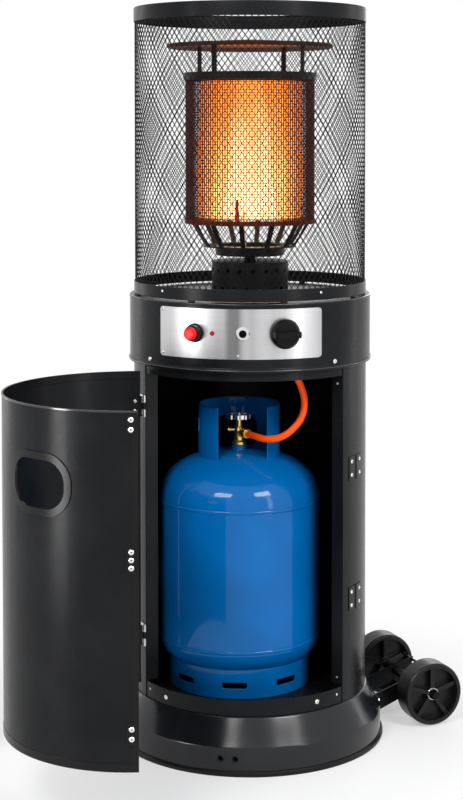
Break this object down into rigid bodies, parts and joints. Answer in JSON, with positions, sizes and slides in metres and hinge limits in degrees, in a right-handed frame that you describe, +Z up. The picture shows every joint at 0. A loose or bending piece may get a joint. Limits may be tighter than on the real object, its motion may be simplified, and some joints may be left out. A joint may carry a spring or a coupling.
{
  "type": "patio heater",
  "caption": "Round gas patio heater with an open curved door, gas bottle and hose, control panel, glowing mesh burner in a wire guard, and transport wheels.",
  "frame": {"origin": "on the floor, on the cabinet's vertical axis, at the underside of the base plate", "axes": "+Z up along the cabinet's axis; -Y to the front, where the control panel is; +X to the right of someone who faces the front"},
  "size_m": [0.7997, 0.8721, 1.387],
  "materials": {
    "black_coat": "satin powder coat",
    "hinge_black": "semi-gloss",
    "edge_strip": "matt",
    "brushed_panel": "brushed",
    "deck_metal": "dull",
    "rivet_metal": "bright",
    "chrome_trim": "polished",
    "pin_steel": "bright",
    "burner_black": "heat-proof satin",
    "tube_steel": "heat-tinted",
    "hot_mesh": "glowing",
    "reflector_steel": "heat-tinted",
    "white_ceramic": "glazed",
    "bottle_blue": "gloss",
    "brass": "satin",
    "copper_pipe": "satin",
    "hose_orange": "gloss",
    "handwheel_grey": "cast",
    "black_plastic": "satin",
    "red_plastic": "gloss",
    "lamp_red": "clear gloss",
    "wheel_black": "matt"
  },
  "bodies": {
    "heater": {"base_plate": "black_coat", "base_trim": "edge_strip", "base_skirt": "black_coat", "floor_plate": "black_coat", "lower_hoop": "black_coat", "cabinet_shell": "black_coat", "left_jamb": "black_coat", "right_jamb": "black_coat", "upper_hoop": "black_coat", "side_plates": "hinge_black", "frame_hinge_leaves": "pin_steel", "hinge_pins": "pin_steel", "frame_rivets": "rivet_metal", "control_drum": "black_coat", "control_panel": "brushed_panel", "panel_screws": "pin_steel", "igniter_collar": "black_plastic", "status_lamp": "lamp_red", "sight_socket": "chrome_trim", "gas_valve": "brass", "supply_pipe": "copper_pipe", "igniter_box": "black_plastic", "tilt_switch": "black_plastic", "deck_plate": "deck_metal", "guard_lower_ring": "black_coat", "guard_mesh": "black_coat", "guard_top_ring": "black_coat", "guard_screws": "rivet_metal", "burner_pedestal": "burner_black", "burner_tube": "tube_steel", "burner_cage": "burner_black", "emitter_hoop": "tube_steel", "emitter": "hot_mesh", "emitter_collar": "burner_black", "reflector_posts": "burner_black", "reflector_disc": "reflector_steel", "electrode": "white_ceramic", "bottle": "bottle_blue", "bottle_foot": "bottle_blue", "bottle_collar": "bottle_blue", "bottle_valve": "brass", "hose_nut": "brass", "gas_hose": "hose_orange", "wheel_bracket": "black_coat", "bracket_bolts": "pin_steel", "axle_sleeve": "black_coat", "axle": "pin_steel", "axle_caps": "chrome_trim"},
    "door": {"door_panel": "black_coat", "door_handle_trim": "hinge_black", "door_hinge_leaves": "hinge_black", "door_edge_plates": "hinge_black", "door_rivets": "rivet_metal"},
    "stem": {"valve_stem": "pin_steel", "push_collar": "pin_steel"},
    "knob": {"knob": "black_plastic"},
    "igniter": {"igniter_cap": "red_plastic"},
    "handwheel": {"handwheel": "handwheel_grey"},
    "front_wheel": {"front_wheel": "wheel_black"},
    "rear_wheel": {"rear_wheel": "wheel_black"}
  },
  "joints": [
    {"name": "door_hinge", "type": "hinge", "parent": "heater", "child": "door", "pos_m": [-0.185, -0.12858, 0.4], "axis": [0, 0, 1], "range_deg": [0, 120]},
    {"name": "knob_push", "type": "slide", "parent": "heater", "child": "stem", "axis": [-0.3551, 0.9348, 0], "range_m": [0, 0.004], "stiffness_N_per_m": 500},
    {"name": "knob_turn", "type": "hinge", "parent": "stem", "child": "knob", "pos_m": [0.08523, -0.22436, 0.793], "axis": [0.3551, -0.9348, 0], "range_deg": [0, 180]},
    {"name": "igniter_push", "type": "slide", "parent": "heater", "child": "igniter", "axis": [0.342, 0.9397, 0], "range_m": [0, 0.005], "stiffness_N_per_m": 600},
    {"name": "handwheel_turn", "type": "hinge", "parent": "heater", "child": "handwheel", "pos_m": [-0.02, -0.01, 0.6], "axis": [0, 0, 1], "range_deg": [0, 540]},
    {"name": "front_wheel_spin", "type": "hinge", "parent": "heater", "child": "front_wheel", "pos_m": [0.29742, 0.15417, 0.062], "axis": [-0.4602, 0.8878, 0], "continuous": true},
    {"name": "rear_wheel_spin", "type": "hinge", "parent": "heater", "child": "rear_wheel", "pos_m": [0.29742, 0.15417, 0.062], "axis": [-0.4602, 0.8878, 0], "continuous": true}
  ]
}
